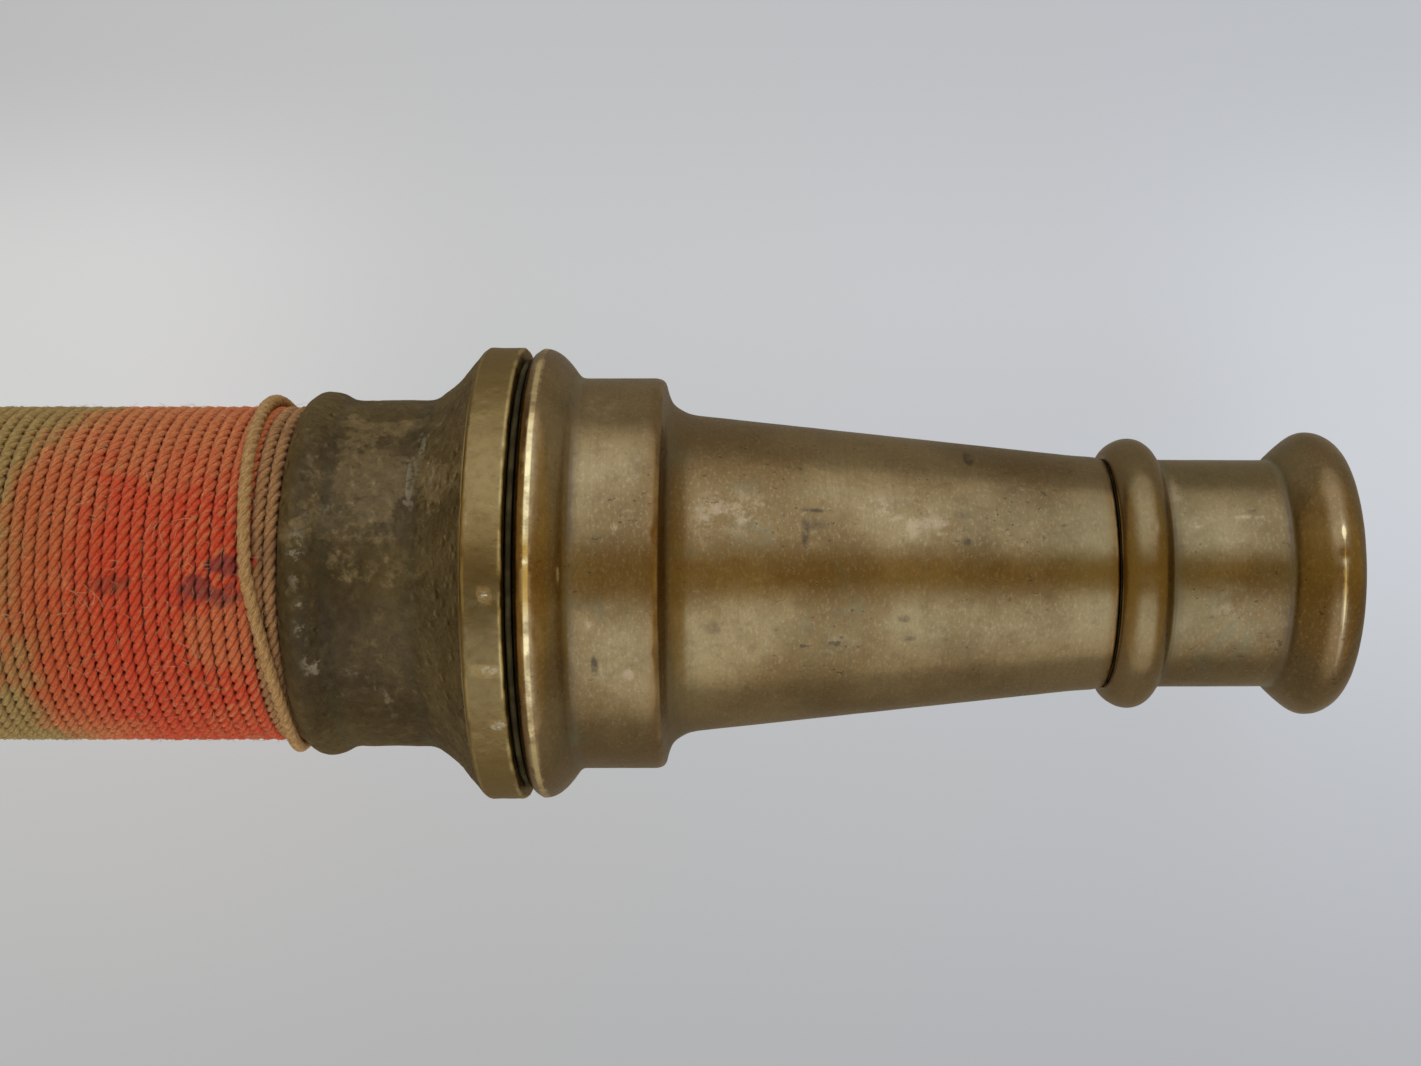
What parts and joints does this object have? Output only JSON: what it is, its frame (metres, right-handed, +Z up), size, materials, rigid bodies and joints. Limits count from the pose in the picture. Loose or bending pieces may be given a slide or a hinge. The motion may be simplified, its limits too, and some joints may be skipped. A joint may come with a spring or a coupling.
{
  "type": "rolled fire hose with branch nozzle",
  "caption": "Rolled lay-flat fire hose on its side, twine-bound brass couplings at both ends, screw-on tapered brass nozzle with a screw-on jet tip.",
  "frame": {"origin": "on the floor under the centre of the whole object's box", "axes": "+X along the nozzle towards its jet, +Z up from the floor that the roll lies on, +Y from the nozzle's axis towards the roll's centre"},
  "size_m": [0.5734, 0.3902, 0.0748],
  "materials": {
    "canvas": "matte",
    "lining_rubber": "matte",
    "washer_rubber": "matte",
    "washer_leather": "matte",
    "painted_twine": "matte",
    "natural_twine": "matte",
    "cast_brass": "satin",
    "turned_brass": "satin",
    "wire_steel": "satin"
  },
  "bodies": {
    "hose": {"hose_roll": "canvas", "hose_lead": "canvas", "hose_core_end": "canvas", "outlet_coupling": "cast_brass", "outlet_lining": "lining_rubber", "outlet_binding": "painted_twine", "outlet_tie_cord": "natural_twine", "inlet_tail": "cast_brass", "inlet_lining": "lining_rubber", "inlet_binding": "painted_twine", "inlet_tie_cord": "natural_twine"},
    "nozzle_seal": {"nozzle_washer": "washer_leather"},
    "nozzle": {"nozzle_body": "turned_brass"},
    "tip_seal": {"tip_washer": "washer_leather"},
    "tip": {"nozzle_tip": "turned_brass"},
    "inlet_swivel": {"inlet_swivel_nut": "turned_brass", "inlet_retaining_wire": "wire_steel", "inlet_wire_plug": "turned_brass", "inlet_washer": "washer_rubber"}
  },
  "joints": [
    {"name": "nozzle_travel", "type": "slide", "parent": "hose", "child": "nozzle_seal", "axis": [1, 0, 0], "range_m": [0, 0.015]},
    {"name": "nozzle_turn", "type": "hinge", "parent": "nozzle_seal", "child": "nozzle", "pos_m": [0.15971, -0.15935, 0.0358], "axis": [1, 0, 0], "range_deg": [0, 2160]},
    {"name": "tip_travel", "type": "slide", "parent": "nozzle", "child": "tip_seal", "axis": [1, 0, 0], "range_m": [0, 0.009]},
    {"name": "tip_turn", "type": "hinge", "parent": "tip_seal", "child": "tip", "pos_m": [0.25071, -0.15935, 0.0358], "axis": [1, 0, 0], "range_deg": [0, 1620]},
    {"name": "inlet_swivel_spin", "type": "hinge", "parent": "hose", "child": "inlet_swivel", "pos_m": [-0.08691, 0.01673, 0.0358], "axis": [1, 0, 0], "continuous": true}
  ],
  "couplings": [
    {"joint": "nozzle_travel", "follows": "nozzle_turn", "m_per_rad": 0.00039788},
    {"joint": "tip_travel", "follows": "tip_turn", "m_per_rad": 0.0003183}
  ]
}
